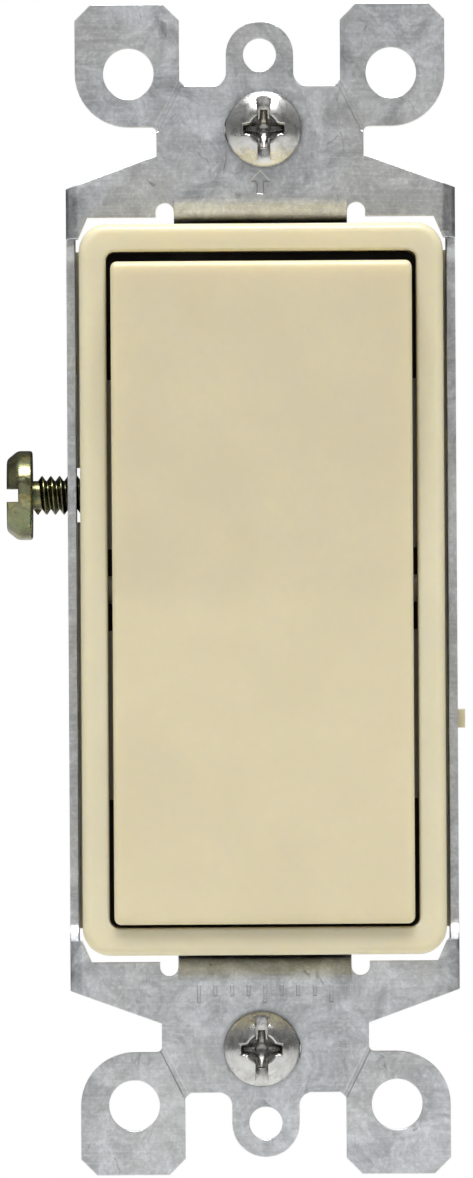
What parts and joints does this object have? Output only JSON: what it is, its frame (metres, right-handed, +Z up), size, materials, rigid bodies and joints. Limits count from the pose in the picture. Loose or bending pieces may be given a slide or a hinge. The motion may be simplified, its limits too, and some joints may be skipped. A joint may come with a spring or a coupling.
{
  "type": "rocker wall switch",
  "caption": "Single-pole rocker wall switch: ivory paddle and frame on a steel strap, dark housing with a snap mechanism, side screw terminals and push-in wire holes.",
  "frame": {"origin": "middle of the strap's back face, the plane that lies on the wall box", "axes": "+X to the right seen from the front, +Y into the wall, +Z up along the strap"},
  "size_m": [0.0415, 0.0362, 0.1062],
  "materials": {
    "steel": "zinc-plated, bright, lightly scuffed",
    "frame_ivory": "ivory, satin",
    "rocker_ivory": "ivory, semi-gloss",
    "housing_black": "dark brown-black phenolic",
    "cradle_nylon": "natural nylon",
    "brass": "rolled strip, bright",
    "silver": "silver alloy button",
    "screw_steel": "zinc-plated",
    "ground_screw_finish": "green-yellow chromate over zinc",
    "terminal_screw_finish": "brass-plated",
    "fibre": "vulcanised fibre",
    "spring_steel": "spring steel wire and leaf",
    "rivet_steel": "nickel-plated"
  },
  "bodies": {
    "strap": {"strap": "steel", "frame": "frame_ivory", "housing_base": "housing_black", "housing_cover": "housing_black", "housing_rivet_top": "rivet_steel", "housing_rivet_bottom": "rivet_steel", "line_terminal": "brass", "load_terminal": "brass", "fixed_contact": "silver", "wire_clip_line": "spring_steel", "wire_clip_load": "spring_steel", "screw_retainer_top": "fibre", "screw_retainer_bottom": "fibre"},
    "rocker": {"rocker": "rocker_ivory"},
    "cradle": {"cradle": "cradle_nylon", "drive_pin": "screw_steel"},
    "plunger": {"plunger": "cradle_nylon", "plunger_spring": "spring_steel"},
    "contact_arm": {"contact_arm": "brass", "moving_contact": "silver"},
    "ground_screw": {"ground_screw": "ground_screw_finish"},
    "line_terminal_screw": {"line_terminal_screw": "terminal_screw_finish"},
    "load_terminal_screw": {"load_terminal_screw": "terminal_screw_finish"},
    "mounting_screw_top": {"mounting_screw_top": "screw_steel"},
    "mounting_screw_bottom": {"mounting_screw_bottom": "screw_steel"}
  },
  "joints": [
    {"name": "rocker_tilt", "type": "hinge", "parent": "strap", "child": "rocker", "pos_m": [0, -0.00191, 0], "axis": [1, 0, 0], "range_deg": [-6, 0]},
    {"name": "cradle_tilt", "type": "hinge", "parent": "strap", "child": "cradle", "pos_m": [0, 0.01059, 0], "axis": [1, 0, 0], "range_deg": [0, 24]},
    {"name": "contact_arm_tilt", "type": "hinge", "parent": "strap", "child": "contact_arm", "pos_m": [0, 0.01839, 0], "axis": [1, 0, 0], "range_deg": [-10, 0]},
    {"name": "plunger_slide", "type": "slide", "parent": "cradle", "child": "plunger", "axis": [0, 0.9781, -0.2079], "range_m": [-0.0006, 0], "stiffness_N_per_m": 250, "springref_m": 0.0004, "deforming": ["plunger_spring"]},
    {"name": "ground_screw_drive", "type": "slide", "parent": "strap", "child": "ground_screw", "axis": [1, 0, 0], "range_m": [0, 0.0031]},
    {"name": "line_terminal_screw_drive", "type": "slide", "parent": "strap", "child": "line_terminal_screw", "axis": [-1, 0, 0], "range_m": [0, 0.0018]},
    {"name": "load_terminal_screw_drive", "type": "slide", "parent": "strap", "child": "load_terminal_screw", "axis": [-1, 0, 0], "range_m": [0, 0.0018]},
    {"name": "mounting_screw_top_turn", "type": "hinge", "parent": "strap", "child": "mounting_screw_top", "pos_m": [0.00035, 0, 0.04167], "axis": [0, 1, 0], "continuous": true},
    {"name": "mounting_screw_bottom_turn", "type": "hinge", "parent": "strap", "child": "mounting_screw_bottom", "pos_m": [-0.00035, 0, -0.04167], "axis": [0, 1, 0], "continuous": true}
  ],
  "couplings": [
    {"joint": "cradle_tilt", "follows": "rocker_tilt", "ratio": -4},
    {"joint": "contact_arm_tilt", "follows": "rocker_tilt", "ratio": 1.6667}
  ]
}
